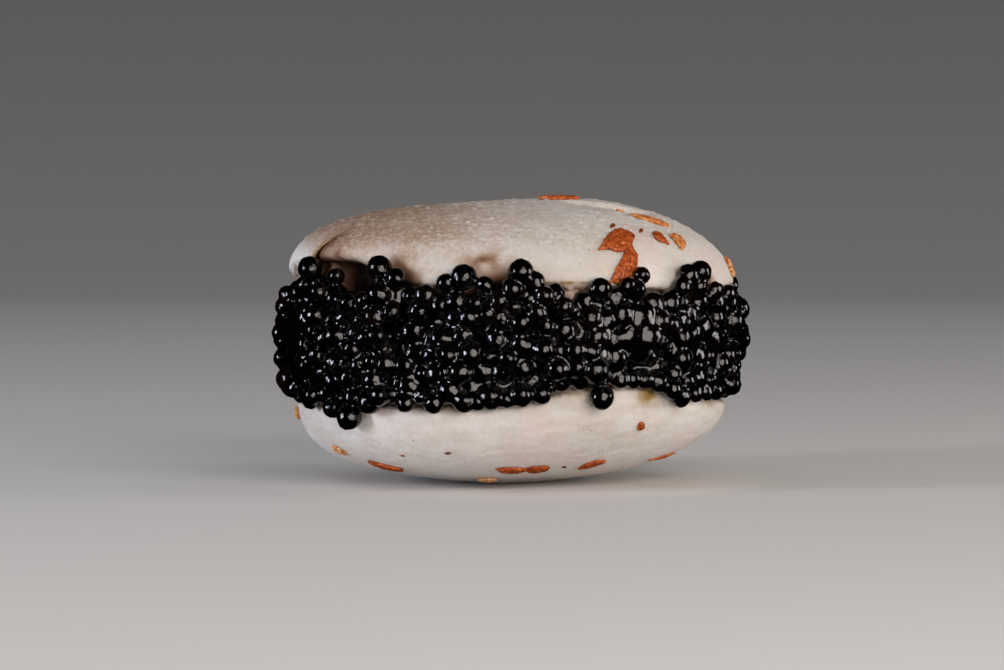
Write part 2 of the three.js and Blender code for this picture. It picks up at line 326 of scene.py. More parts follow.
# The shells, shaped as their solids in the frame are
lip = {"inset": 0.5, "drop": 0.35}
upperShell = {
    "name": "upperShell",
    "node": "shell_upper",
    "rimRadius": 22.9,
    "rimHeight": 20.6,
    "crown": {"x": 5, "radius": 3, "height": 29.35},
    "cone": 0.2,
    "fullness": {"right": 2.15, "left": 4.3},
    "foot": {"inset": 1.2, "height": 18.7},
    "wobbles": [(2, 0.2, 0), (3, 0.12, 50)],  # waves, depth, at
    "lifts": [(-152, 2.4, 38)],  # at, height, spread
    # how much the rim stands above that line, from angle to angle
    "rimLine": [(-180, 0), (-170, 0.2), (-160, 0.2), (-154, 0.3), (-150, 0.4), (-141, 0.3), (-134, 0.6),
                (-130.5, 0.2), (-128.5, -1.5), (-124.5, -1.4), (-121, -0.6), (-116, -0.4), (-110, -0.4),
                (-102, -0.4), (-94, 0.3), (-88, 0.5), (-70, 0.5), (-55, 0.1), (-30, 0),
                (40, 0.2), (70, -0.2), (100, 0.3), (130, -0.1), (160, 0)],
    "grain": {"depth": 0.1, "from": 22.8, "full": 26.4},  # the almond grains, deeper towards the crown
    # painted shade in the recesses under the rim, where the bulge shades the foot
    "footShade": [(-141, 8, 0.6), (-93, 4, 0.3)],  # at, spread, how much browner
    # painted light: the lip's low end paler, where it faces the lamps on the left
    "lipHighlight": {"at": -172, "spread": 16, "below": (23, 26.5), "paler": 0.32},
    # stains of fat and syrup: at, height, spread round, spread up
    "stains": [(-77, 21.1, 6, 0.13), (60, 20.4, 8, 0.4), (130, 20.2, 9, 0.4)],
    # browner patches, those at -139 and -119.5 painted shade of the recess and the beads: at, height, spread
    # round, spread up, how much
    "scorchesAndShade": [(-97, 23.2, 6.5, 1.2, 0.42), (-139, 23.6, 4.5, 0.9, 0.32), (-119.5, 23, 5, 1.2, 0.36),
                 (-84, 22, 5, 0.6, 0.1), (20, 22, 9, 1, 0.15), (75, 21.8, 7, 0.8, 0.15),
                 (150, 22.2, 8, 1, 0.15)],
    # open crumb that stands out of the foot: at, height, spread round, spread up, proud
    "crumbs": [(-76, 19.9, 5, 1.1, 1.1), (-93, 20, 4, 0.9, 0.5), (35, 19.9, 5, 1, 0.7),
               (110, 19.8, 5, 1, 0.6)],
}
lowerShell = {
    "name": "lowerShell",
    "node": "shell_lower",
    "rimRadius": 22.25,
    "rimHeight": 8.2,
    "crown": {"x": -1, "radius": 4, "height": 0},
    "cone": 0.3,
    "fullness": {"right": 3, "left": 5},
    "foot": {"inset": 1.2, "height": 11},
    "wobbles": [(1, 0.15, 180), (3, 0.12, 10)],
    "lifts": [(-62, 2.2, 24)],
    "rimLine": [(-180, 0.2), (-150, 0), (-120, 0.3), (-90, 0.1), (-60, 0), (-30, 0.3), (0, 0), (50, 0.3),
                (90, -0.1), (140, 0.2)],
    "grain": {"depth": 0.05, "from": 9, "full": 3},
    "stains": [(-52, 9.8, 3, 0.9), (45, 9, 4, 0.6), (120, 8.6, 5, 0.5)],
    # painted light: the lower shell paler towards the bottom, where the floor shades it
    "bottomLight": {"below": (2, 6), "paler": 0.16, "above": 0.13},
    "brownRim": {"height": 9, "tall": 1.2, "browner": 0.1},
    "streaks": {"size": 2.6, "browner": 0.12},  # drawn out round the shell
    "scorchesAndShade": [(-96, 8.6, 5, 0.4, 0.12), (-66, 9.4, 6, 0.6, 0.14), (-48, 8.6, 8, 0.6, 0.1),
                 (30, 8, 9, 0.6, 0.12)],
    "crumbs": [(-73.5, 10.6, 3, 0.7, 0.9), (-52, 10, 2.6, 0.8, 0.6), (150, 9, 5, 0.8, 0.6)],
}
shellMesh = {"segments": 540, "domeRows": 46, "footRows": 6, "voxel": 0.21, "ringGap": 0.6}
outside = 19  # radius beyond which crumbs, scorches and stains show
# depth and size of the unevenness of the crust and of the open crumb
relief = {"swells": (0.1, 6), "ripples": (0.03, 1.7), "pores": (0.06, 2.8), "crumb": (0.4, 1.1),
          "pits": (0.35, 0.75), "fine": (0.18, 0.5)}
# how much browner each place is painted: all and rim by the baking; top and foot partly baking, partly
# painted shade; the top left, the left side and the folds painted shade
browner = {"all": 0.12, "foot": 0.45, "rim": 0.16, "top": 0.04, "shadeTopLeft": 0.29, "left": 0.06, "creaseShade": 0.8}
# painted highlight: the raised granules painted paler, a glint on the almond grain
granuleGlint = 0.25


def rimRadius(shell, angle):
    return shell["rimRadius"] + sum(
        depth * np.cos(np.radians(waves * (angle - at))) for waves, depth, at in shell["wobbles"])


def rimHeight(shell, angle):
    return shell["rimHeight"] + sum(height * bump(angle, at, spread) for at, height, spread in shell["lifts"])


def lineAt(line, angle):  # the height of an edge that is given from angle to angle
    ats, heights = zip(*line)
    return np.interp(angle, ats, heights, period=360)


def rimEdge(shell, angle):
    return rimHeight(shell, angle) + lineAt(shell["rimLine"], angle)


def facing(shell):  # 1 for the upper shell, whose crown is up, and -1 for the lower
    return 1 if shell["crown"]["height"] > shell["foot"]["height"] else -1


def domeDrop(shell, angle, share):
    side = (1 - np.cos(np.radians(angle))) / 2
    fullness = shell["fullness"]["right"] * (1 - side) + shell["fullness"]["left"] * side
    return shell["cone"] * share + (1 - shell["cone"]) * (1 - np.sqrt(np.maximum(0, 1 - share**fullness)))


def domePoint(shell, angle, share):
    crown = shell["crown"]
    drop = domeDrop(shell, angle, share)
    inner = polar(crown["radius"], angle, crown["height"]) + np.array([crown["x"], 0, 0])
    outer = polar(rimRadius(shell, angle), angle, rimHeight(shell, angle))
    share = np.asarray(share)[..., None]
    point = inner * (1 - share) + outer * share
    point[..., 2] = crown["height"] + (rimHeight(shell, angle) - crown["height"]) * drop
    point[..., 2] += lineAt(shell["rimLine"], angle) * smoothStep(drop, 0.5, 1)
    return point


def footPoint(shell, angle, inset, share):  # share is 0 level with the lip and 1 at the foot's own edge
    edge = rimEdge(shell, angle) - facing(shell) * lip["drop"]
    return polar(rimRadius(shell, angle) - inset, angle, edge + (shell["foot"]["height"] - edge) * share)


def shellRows(shell):  # each row is a function of the angle, from the foot to the crown
    inset, rows = shell["foot"]["inset"], []
    for i in range(shellMesh["footRows"]):
        rows.append(lambda a, f=1 - i / (shellMesh["footRows"] - 1): footPoint(shell, a, inset, f))
    rows.append(lambda a: footPoint(shell, a, (inset + lip["inset"]) / 2, 0))
    rows.append(lambda a: footPoint(shell, a, lip["inset"], 0))
    for i in range(shellMesh["domeRows"]):
        share = math.sin(math.pi / 2 * (1 - i / shellMesh["domeRows"]))
        rows.append(lambda a, s=share: domePoint(shell, a, np.full(np.shape(a), s)))
    return rows


def growRings(rings):  # extrudes and scales what is selected, ring by ring, each a radius and a height
    for (lastRadius, lastHeight), (radius, height) in zip(rings, rings[1:]):
        bpy.ops.mesh.extrude_region_move(TRANSFORM_OT_translate={"value": (0, 0, (height - lastHeight) * mm)})
        grown = radius / lastRadius
        bpy.ops.transform.resize(value=(grown, grown, 1), center_override=(0, 0, 0))


def stackedRings(name, rings, segments):
    radius, height = rings[0]
    deselectAll()
    bpy.ops.mesh.primitive_circle_add(vertices=segments, radius=radius * mm, fill_type="NGON")
    piece = bpy.context.object
    piece.name = name
    enter("EDIT")
    bpy.ops.transform.translate(value=(0, 0, height * mm))
    growRings(rings)
    faceAll(inside=False)
    return piece


def turnedShell(shell):  # the plain round stack, then every ring pulled to this shell's own uneven line
    rows = shellRows(shell)
    # the rings of the plain stack stand evenly apart, so that each point knows its ring
    start, step = shell["foot"]["height"], facing(shell) * shellMesh["ringGap"]
    radii = [float(np.hypot(*row(np.array(90.0))[:2])) for row in rows]
    piece = stackedRings(shell["name"], [(r, start + i * step) for i, r in enumerate(radii)],
                         shellMesh["segments"])
    points = readPoints(piece)
    ring = np.rint((points[:, 2] - start) / step).astype(int)
    angle = angleOf(points)
    for i, row in enumerate(rows):
        points[ring == i] = row(angle[ring == i])
    movePoints(piece, points)
    return piece


# The fold at the left of the upper shell: a slit from the rim up, with a sharp lip on its left and a soft
# bulge on its right
fold = {"foot": (-152, 22.6), "top": (-145, 25.8), "depth": 1.3, "sharp": 0.8, "soft": 4.4, "under": 5.5}
bulge = (-139, 24.4, 8, 1.6, 0.35)  # at, height, spread round, spread up, proud
# shaded dents over the rim: at, height, spread, tall, depth
hollows = [(-138.5, 22.2, 7.5, 1.6, 4), (-119, 21.6, 4.5, 1.6, 0.5), (-93, 21.3, 5.5, 1.7, 0.6),
           (-30, 21.2, 4, 1.3, 0.35)]
# a wrinkle near the crown
ridge = {"from": 6.2, "to": 13.5, "y": -4.2, "slope": 0.12, "step": 0.5, "fade": 7, "above": 24}


def sculptUpper(piece):
    points = readPoints(piece)
    angle = angleOf(points)
    radius = radiusOf(points)
    outer = smoothStep(radius, 8, 18)
    (lowAt, lowHeight), (highAt, highHeight) = fold["foot"], fold["top"]
    along = (points[:, 2] - lowHeight) / (highHeight - lowHeight)
    apart = (angle - (lowAt + (highAt - lowAt) * along) + 180) % 360 - 180
    soft = fold["soft"] * np.clip(1.5 - along, 0.3, 1.5)
    across = smoothStep(apart, -fold["sharp"], fold["sharp"] * 0.4) * np.exp(-np.maximum(apart, 0) / soft)
    inward = fold["depth"] * across * (1 - smoothStep(along, 0.1, 1)) * (np.abs(apart) < 30)
    under = inward * fold["under"] * outer  # in degrees
    window = (1 - smoothStep(along, 0.6, 1.25)) * (np.abs(apart) < 30)
    # painted shade along the slit, carried into the colour
    creaseShade = across * window
    golden = np.exp(-(((apart + 1.4) / 0.8) ** 2)) * window  # the edge of the lip is baked yellow-brown
    inward -= spot(angle, points[:, 2], bulge[:4], bulge[4])
    for at, height, spread, tall, depth in hollows:
        low = 1 - smoothStep(points[:, 2], height - 0.3, height + tall)
        inward += depth * bump(angle, at, spread) * low
        # painted shade in each dent
        creaseShade = np.maximum(creaseShade, 0.85 * bump(angle, at, spread) * low)
    points = polar(radius - inward * outer, angle - under, points[:, 2])
    line = ridge["y"] + ridge["slope"] * (points[:, 0] - ridge["from"])
    front = smoothStep(line - points[:, 1], 0, 0.5) * (1 - smoothStep(line - points[:, 1], 1, ridge["fade"]))
    window = smoothStep(points[:, 0], ridge["from"] - 1.5, ridge["from"] + 1) * (
        1 - smoothStep(points[:, 0], ridge["to"] - 1, ridge["to"] + 1.5))
    points[:, 2] -= ridge["step"] * front * window * (points[:, 2] > ridge["above"])
    movePoints(piece, points)
    return creaseShade * outer, golden * outer


def roughened(piece, shell):  # lumps, almond grains, pores, and the open crumb of the foot
    points, normals = readPoints(piece), readNormals(piece)
    angle = angleOf(points)
    radius = radiusOf(points)
    up = facing(shell)
    edge = rimEdge(shell, angle)
    belowRim = (edge - points[:, 2]) * up
    foot = smoothStep(belowRim, 0.05, 0.5)
    inner = smoothStep(rimRadius(shell, angle) - shell["foot"]["inset"] - radius, 0.4, 1)
    grain = shell["grain"]
    top = smoothStep(points[:, 2], *sorted((grain["from"], grain["full"])))
    top = top if up > 0 else 1 - top
    depth, size = ({kind: pair[i] for kind, pair in relief.items()} for i in (0, 1))
    pits = cells(points, size["pits"], 3)
    coarse = lumps(points, size["crumb"], 4)
    out = depth["swells"] * lumps(points, size["swells"], 1)
    out += depth["ripples"] * lumps(points, size["ripples"], 2)
    out += grain["depth"] * top * (0.7 * lumps(points, 0.6, 5) + 0.3 * lumps(points, 1.1, 6))
    granules = top * (1 - smoothStep(cells(points, 0.75, 12), 0.1, 0.4))
    granules = granules * smoothStep(lumps(points, 2.2, 13), -0.3, 0.1)
    out += 1.3 * grain["depth"] * granules
    fine = depth["fine"] * lumps(points, size["fine"], 7)
    out += foot * (1 - inner) * (depth["crumb"] * coarse + depth["pits"] * (pits - 0.45) + fine)
    out -= (1 - foot) * depth["pores"] * (1 - smoothStep(cells(points, size["pores"], 8), 0.03, 0.08))
    crumb = 0 * radius
    for *place, proud in shell["crumbs"]:
        near = spot(angle, points[:, 2], place) * (radius > outside)
        crumb = np.maximum(crumb, near)
        out += near * (proud * (0.6 + 0.5 * coarse) * foot + 0.6 * (pits - 0.4))
    if up < 0:
        out *= smoothStep(points[:, 2], 0, 0.5)  # the rest face stays level
    movePoints(piece, points + normals * out[:, None])
    rimBand = np.exp(-((belowRim / 0.35) ** 2)) * (1 - inner)
    return foot * (1 - inner), rimBand, top, granules, crumb


def bakedShell(shell):
    piece = turnedShell(shell)
    applyModifier(piece, "REMESH", mode="VOXEL", voxel_size=shellMesh["voxel"] * mm)
    points = readPoints(piece)
    hidden = (radiusOf(points) < shell["rimRadius"] - 2.4) & (
        np.abs(points[:, 2] - shell["foot"]["height"]) < 0.3)
    thinned(piece, hidden, 0.05)
    creaseShade, golden = sculptUpper(piece) if shell is upperShell else (0, 0)
    applyModifier(piece, "SMOOTH", factor=0.5, iterations=2)
    foot, rimBand, top, granules, crumb = roughened(piece, shell)
    smoothShaded(piece)
    points = readPoints(piece)
    angleAt = angleOf(points)
    radiusAt = radiusOf(points)
    patches = lumps(points, 5, 9)
    # painted shade and painted light go into this as well as the browning, as the lines below say
    bake = browner["all"] + browner["foot"] * foot + browner["rim"] * rimBand * (0.5 + patches)
    bake += crumb * (0.15 - 0.4 * foot)
    if shell is upperShell:
        # painted shade: darker towards the left, where the lamps' light falls off
        left = smoothStep(points[:, 0], 7, -15)
        bake += (top * (browner["top"] + browner["shadeTopLeft"] * left)
                 - granuleGlint * granules * (0.5 + 0.5 * left)
                 + browner["creaseShade"] * creaseShade + browner["left"] * left)
        # painted light: the lip's low end paler, where it faces the lamps on the left
        pale = shell["lipHighlight"]
        low = 1 - smoothStep(points[:, 2], *pale["below"])
        bake -= pale["paler"] * bump(angleAt, pale["at"], pale["spread"]) * low * (radiusAt > outside)
        rim = rimEdge(shell, angleAt)
        # painted shade: darker just under the rim's edge at these angles, where the recesses lie
        shadedUnderRim = (1 - smoothStep(points[:, 2] - rim, -0.5, 0.4)) * (radiusAt > 15)
        for at, spread, more in shell["footShade"]:
            bake += more * shadedUnderRim * bump(angleAt, at, spread)
    else:
        rim, bottom, streaks = shell["brownRim"], shell["bottomLight"], shell["streaks"]
        near = np.exp(-(((points[:, 2] - rim["height"]) / rim["tall"]) ** 2))
        bake += rim["browner"] * near * np.maximum(0, patches + 0.3)
        # painted light: paler towards the bottom, where the floor shades the shell
        bake -= bottom["paler"] - bottom["above"] * smoothStep(points[:, 2], *bottom["below"])
        bake += streaks["browner"] * lumps(points * [1, 1, 4], streaks["size"], 16)
    # browner patches, some of them painted shade on the upper shell
    for *place, more in shell["scorchesAndShade"]:
        near = spot(angleAt, points[:, 2], place) * (radiusAt > outside)
        bake += more * near * (0.7 + lumps(points, 1.2, 15))
    paint(piece, "bake", np.clip(bake, 0, 1))
    stains = 0 * bake
    for place in shell["stains"]:
        stains = np.maximum(stains, spot(angleAt, points[:, 2], place))
    stains = 1.5 * stains * (radiusAt > outside) * (0.8 + lumps(points, 0.9, 14))
    paint(piece, "stain", np.clip(stains + golden, 0, 1))
    paint(piece, "grainy", top * (0.4 + 0.6 * left if shell is upperShell else 0.3))
    onTheMacaron(piece, meringue, shell["node"])
    return piece


# The toasted flakes, each as seen from one side (its azimuth in degrees, 0 at the front, or "top"): across
# and height there, length, width, turn, toast, how pointed, and how bent
flakes = {
    "upper": [
        (0, 10.3, 25, 3.8, 2.5, 17, 0.62, 0.75, 0.3), (0, 11.15, 22.8, 4.2, 1.9, 60, 0.62, 0.15, -0.5),
        (0, 13.8, 27.2, 4.4, 0.9, -15, 0.3, 0.1, 0.1), (0, 14.9, 25.3, 2.1, 0.9, 142, 0.6, 0.7, 0),
        (0, 16.7, 25, 2, 1.1, -47, 0.28, 0, 0.5), (45, 13.9, 22.3, 2.2, 1.3, -72, 0.22, 0.6, 0),
        ("top", 4.7, -3, 4.4, 2.4, 4, 0.5, 0.3, 0), ("top", 11, -6.5, 0.9, 0.6, 10, 0.35, 0.3, 0),
        (0, 10, 26.6, 0.7, 0.4, 30, 0.75, 0.5, 0), (0, 12.9, 26.1, 0.6, 0.36, 40, 0.9, 0.2, 0),
        (115, 5, 24.8, 4, 2.2, 25, 0.6, 0.5, 0.3), (135, -9, 24.2, 3, 1.7, 60, 0.5, 0.3, -0.3),
        (165, 5, 25.4, 3.6, 1.9, -20, 0.45, 0.6, 0.3), (200, 9, 23.6, 2.6, 1.6, 75, 0.6, 0.4, 0.2),
        (225, -2, 24, 3.4, 1.5, 10, 0.5, 0.2, -0.3), (245, 5, 24.6, 1.6, 1, 30, 0.7, 0.2, 0),
        (150, 9, 25, 1.1, 0.7, 0, 0.9, 0.3, 0), ("top", -4, 12, 3.8, 2, 40, 0.5, 0.4, 0.3),
    ],
    "lower": [
        (0, -0.1, 2.3, 3.1, 0.9, -2, 0.62, 0.1, 0), (0, 2.5, 2.35, 2.4, 1, 6, 0.68, 0.1, 0),
        (0, 7.9, 2.6, 3, 0.8, 17, 0.6, 0.5, 0.2), (0, -2.5, 1, 2.1, 1, 0, 0.15, 0.2, 0),
        (0, 15.4, 3, 3, 0.6, 12, 0.5, 0.3, 0), (0, -12.8, 2.4, 3.9, 0.9, -14, 0.62, 0.3, 0),
        (0, -17.6, 3.9, 1.7, 0.8, -32, 0.15, 0.2, 0), (-40, -16, 7.2, 1.4, 1.1, 80, 0.2, 0.1, 0),
        (90, 5, 4.2, 3.4, 1.2, -15, 0.5, 0.4, 0.2), (140, -6, 3.2, 3, 1, 10, 0.55, 0.2, 0),
        (0, 12.8, 6.7, 1, 0.75, 60, 0.65, 0.2, 0), (0, -6.4, 4.15, 0.75, 0.25, 0, 0.9, 0.2, 0),
        (0, 5.2, 2.4, 0.5, 0.3, 10, 0.9, 0.2, 0), (0, -11, 3.7, 0.6, 0.2, -6, 0.7, 0.2, 0),
        (200, 4, 4.6, 2.6, 1.1, 35, 0.6, 0.5, 0.2), (250, -2, 3.4, 3, 0.9, -8, 0.5, 0.3, 0),
        (110, 6, 6.5, 0.9, 0.7, 0, 0.8, 0.2, 0),
    ],
}
flakeMesh = {"cuts": 11, "thickness": 0.54, "proud": 0.2, "voxel": 0.1, "longest": 2.2}


def seenFrom(azimuth):  # the directions right, up and into the picture of a view
    if azimuth == "top":
        return np.array([1.0, 0, 0]), np.array([0, 1.0, 0]), np.array([0, 0, -1.0])
    turn = math.radians(azimuth)
    return (np.array([math.cos(turn), math.sin(turn), 0]), np.array([0, 0, 1.0]),
            np.array([-math.sin(turn), math.cos(turn), 0]))


def ballFromCube(cuts):
    deselectAll()
    bpy.ops.mesh.primitive_cube_add(size=1 * mm)
    piece = bpy.context.object
    enter("EDIT")
    bpy.ops.mesh.subdivide(number_cuts=cuts)
    bpy.ops.transform.tosphere(value=1)
    enter("OBJECT")
    return piece, readPoints(piece)


def flakeOn(surface, index, azimuth, across, height, length, width, turn, toast, pointed, bent):
    piece, ball = ballFromCube(flakeMesh["cuts"])
    ball /= np.linalg.norm(ball, axis=1).max()
    x, y, z = ball.T
    turnAt = np.degrees(np.arctan2(y, x))
    ragged = 1 + 0.07 * np.sin(np.radians(3 * turnAt + 70 * index))
    ragged += 0.05 * np.sin(np.radians(7 * turnAt + 31 * index))
    taper = 1 - pointed * smoothStep(-x, -0.3, 1.05)
    small = min(1, width / 1.2)
    lengthwise = x * length / 2 * ragged
    crosswise = (y * taper + bent * (0.5 - x * x)) * width / 2 * ragged
    thick = np.sign(z) * np.abs(z) ** 0.6 * flakeMesh["thickness"] * small / 2
    right, up, look = seenFrom(azimuth)
    eye = right * across + up * height - look * 60
    hit, *_ = surface.ray_cast(Vector(eye * mm), Vector(look), 120 * mm)
    place = np.array(hit) / mm
    out = np.mean([normal for _, normal, *_ in surface.find_nearest_range(hit, 1.2 * mm)], axis=0)
    out /= np.linalg.norm(out)
    lean = math.radians(turn)
    tangents = []  # along the surface, so that the flake looks its size in that view
    for side in (right * math.cos(lean) + up * math.sin(lean), up * math.cos(lean) - right * math.sin(lean)):
        tangent = side - look * (side @ out) / (look @ out)
        size = np.linalg.norm(tangent)
        tangents.append(tangent / size * min(size, flakeMesh["longest"]))
    points = []
    for u, v, w in zip(lengthwise, crosswise, thick):
        start = place + tangents[0] * u + tangents[1] * v + out * 4
        hit, *_ = surface.ray_cast(Vector(start * mm), Vector(-out), 8 * mm)
        ground = np.array(hit) / mm if hit else start - out * 4.3
        points.append(ground + out * (w + flakeMesh["proud"] * small))
    movePoints(piece, np.array(points))
    pick(piece)
    enter("EDIT")
    faceAll(inside=False)
    finer = 0.6 if width < 0.7 else 1
    applyModifier(piece, "REMESH", mode="VOXEL", voxel_size=flakeMesh["voxel"] * mm * finer)
    piece = largestPart(piece)
    applyModifier(piece, "SMOOTH", factor=0.5, iterations=2)
    points, normals = readPoints(piece), readNormals(piece)
    rough = 0.08 * lumps(points, 0.3, 10 + index) + 0.06 * lumps(points, 0.9, 11 + index)
    movePoints(piece, points + normals * (rough * small)[:, None])
    paint(piece, "toast", np.full(len(points), toast))
    return piece


def flakePiece(shell, shellPiece, name, places):
    surface = BVHTree.FromObject(shellPiece, bpy.context.evaluated_depsgraph_get())
    piece = joined([flakeOn(surface, i, *place) for i, place in enumerate(places)], name)
    smoothShaded(piece)
    onTheMacaron(piece, toasted, shell["node"])


# The caviar, heaped round the band between the rims
band = {"outsideRims": 0.3, "bulge": 0.95, "gap": 0.3}
clumps = [(5, 0.2, 2), (9, 0.12, -3), (14, 0.08, 4)]  # waves round the band, swell, slant
overhang = {"at": -90, "depth": 0.8, "spread": 55}  # the heap leans out at the front
sags = [(-131, 1.8, 8), (-77, 0.8, 5)]  # where the band's upper side is lower: at, height, spread
roe = {
    "seed": 11,
    "rows": {1: 7, 2: 6},  # of the outer layer and the one behind it
    "inRow": {1: 64, 2: 56},
    "radius": (0.98, 1.38),
    "uneven": {"round": 0.8, "up": 0.7, "deep": 0.55},
    "rowWaves": [(11, 0.5, 0), (23, 0.35, 40)],  # waves round the band, height, at
    "clumps": {"size": 4.2, "deep": 2.1},
    "behind": 1.8,  # from the outer layer to the next
    "overlap": 0.85,  # neighbours press into each other a little
    "passes": 60,
    "push": 0.35,  # in each pass, as a share of the way
    "toBand": 0.15,
    "toStart": 0.08,
    "dents": 0.09,
    "squash": 0.06,
    "cuts": 2,
    "fuller": 1.04,  # so that its flat faces lie round a ball of 1
}
# the heap's upper and lower edge, from angle to angle
heapTop = [(-171, 19.2), (-163, 20.9), (-157, 21.7), (-152, 22.2), (-144, 21.2), (-140, 20.8), (-136, 20.4),
           (-133, 19.5), (-129.5, 19.4), (-127, 20.8), (-120, 21.7), (-116, 21), (-112, 21), (-108, 21.4),
           (-103, 22.1), (-99, 22.1), (-96, 21.4), (-94, 20.4), (-92, 20.4), (-90, 21.7), (-87, 22.1),
           (-83, 21.3), (-81, 20.6), (-78, 19.8), (-74.5, 19.3), (-72, 20.4), (-69, 20.9), (-64, 20.7),
           (-61, 20.9), (-57, 20.6), (-52, 20.1), (-49, 19.9), (-46, 20.7), (-42, 21.5), (-38, 21.1),
           (-33, 20.5), (-27, 20.1), (-20, 20.4), (-10, 19.4), (5, 19.6), (20, 20.6), (38, 21), (55, 19.8),
           (72, 20.9), (90, 21.3), (104, 20), (120, 21), (136, 19.9), (152, 20.8), (168, 19.4)]
heapFoot = [(-171, 8.8), (-158, 8.5), (-142, 8.6), (-130, 8.3), (-122, 8.9), (-115, 8.6), (-109, 8.7),
            (-104, 9), (-95, 8.6), (-89, 9), (-83, 9.3), (-80, 10), (-78, 10.6), (-75.5, 11.4), (-69, 10.6),
            (-60, 10.9), (-54, 10.7), (-51, 10), (-47, 9.3), (-42, 8.8), (-34, 9), (-24, 8.9), (-15, 9.3),
            (0, 8.6), (20, 8.9), (45, 8.1), (70, 8.7), (95, 8), (120, 8.6), (145, 8), (165, 8.7)]
# dark gaps in the heap: at, height, spread round, spread up, depth
gaps = [(-136, 17, 4, 2, 1.3), (-107, 16, 7, 1, 1), (-73.5, 17.4, 5, 1.8, 1.3), (-49.5, 12.8, 3.5, 2.4, 1.2),
        (-95, 12.5, 4, 1, 0.7), (-20, 17, 4, 2, 1), (25, 13, 5, 2, 1.2), (62, 17, 6, 1.5, 1.1),
        (100, 14, 5, 2, 1.2), (133, 17, 4, 2, 1.2), (165, 13, 5, 2, 1)]
# beads that stand out at the edges of the heap: at, height, across
standing = [
    (-148.8, 22.3, 2.6), (-140.2, 21.6, 1.8), (-124, 22.5, 2.6), (-119, 21.5, 2.1), (-101.7, 21.7, 2.6),
    (-106, 21.1, 2), (-96.5, 20.9, 1.9), (-88.1, 22.2, 2.6), (-84.9, 21.2, 2.3), (-80, 20.1, 2.1),
    (-68.8, 20.5, 2.3), (-61.5, 20.7, 1.9), (-59, 20.3, 2), (-57.2, 21.8, 1.8), (-37.2, 22, 2.4),
    (-42.4, 21.7, 2.4), (-45, 20.6, 2.1), (-30.5, 20, 2), (-38, 20.5, 2), (-22, 19.7, 2),
    (-12, 19.3, 1.9), (-167, 9.4, 2.1), (-151.8, 9.2, 2.3), (-140.5, 8.4, 2.1), (-133.7, 7.6, 2.6),
    (-127, 9.3, 2.7), (-121, 10, 1.9), (-117, 9.2, 2), (-109.5, 9.3, 2.2), (-101.8, 9.5, 2.4),
    (-98.6, 9.5, 2), (-95.3, 9.9, 2.6), (-91.4, 9.7, 1.9), (-88, 10.1, 2.5), (-83, 10.2, 2.1),
    (-78, 11.4, 2.2), (-73, 11.5, 2.1), (-67.8, 9.8, 2.5), (-62, 11.5, 2), (-58.5, 11.5, 2),
    (-54.5, 11.4, 2), (-43, 9.6, 2.2), (-36.5, 9.9, 2.1), (-30, 10.3, 2.2), (14, 20.2, 2),
    (52, 8.9, 2.3), (85, 21.3, 2.5), (90, 20.2, 2.2), (121, 8.9, 2.2), (143, 21.2, 2.3), (30, 9.6, 2.1),
    (124, 21, 2.1), (105, 20.7, 2), (66, 20.8, 2.2),
]


def lowestCaviar(angle):
    return rimHeight(lowerShell, angle) + lip["drop"] + band["gap"]


def highestCaviar(angle):
    return rimHeight(upperShell, angle) - lip["drop"] - band["gap"] - sum(
        height * bump(angle, at, spread) for at, height, spread in sags)


def bandRadius(angle, share):
    clump = sum(swell * np.sin(np.radians(waves * angle) + slant * share) for waves, swell, slant in clumps)
    fromRims = 1 - (2 * share - 1) ** 2
    rims = rimRadius(lowerShell, angle) * (1 - share) + rimRadius(upperShell, angle) * share
    leaning = overhang["depth"] * bump(angle, overhang["at"], overhang["spread"]) * (1 - fromRims / 2)
    return rims + band["outsideRims"] + leaning + fromRims * (band["bulge"] + clump)


def bandShare(angle, height):
    low, high = lowestCaviar(angle), highestCaviar(angle)
    return (height - low) / (high - low)


def domeRadius(shell, angle, height):  # how far out the shell reaches at a height above its rim
    rim, crown = rimEdge(shell, angle), shell["crown"]["height"]
    wanted = np.clip((height - crown) / (rim - crown), 0, 1)
    low, high = np.zeros_like(wanted), np.ones_like(wanted)
    for _ in range(12):
        middle = (low + high) / 2
        tooFar = domeDrop(shell, angle, middle) > wanted
        low, high = np.where(tooFar, low, middle), np.where(tooFar, middle, high)
    return rimRadius(shell, angle) * low


def pushedOut(shell, radius, angle, height, size):  # moves bead centres out of the shell and its foot
    up = facing(shell)
    edge = rimEdge(shell, angle) - up * lip["drop"]
    foot = rimRadius(shell, angle) - shell["foot"]["inset"]
    dome = domeRadius(shell, angle, height)
    for wall, floor in ((foot, shell["foot"]["height"] + 0 * angle), (dome, edge)):
        beyond, above = radius - wall, (floor - height) * up
        away = np.hypot(np.maximum(beyond, 0), np.maximum(above, 0))
        inside = (beyond <= 0) & (above <= 0)
        sideways = np.where(inside, beyond > above, np.maximum(beyond, 0) / np.maximum(away, 1e-6))
        upwards = np.where(inside, beyond <= above, np.maximum(above, 0) / np.maximum(away, 1e-6))
        depth = np.maximum(0, size * 0.96 - np.where(inside, np.maximum(beyond, above), away))
        radius = radius + sideways * depth
        height = height - up * upwards * depth
    return radius, height


def wantedRadius(angle, height, size, deep, outer):  # of a bead's centre, further out at the rims
    want = bandRadius(angle, np.clip(bandShare(angle, height), 0.05, 0.95)) - size - deep + 0.25
    for *place, depth in gaps:
        want -= spot(angle, height, place, depth) * outer
    for shell in (upperShell, lowerShell):
        edge = rimEdge(shell, angle)
        near = smoothStep((height - edge) * facing(shell), -1.3, -0.3) * outer
        want += near * np.maximum(0, domeRadius(shell, angle, height) + 0.9 * size - want)
    return want


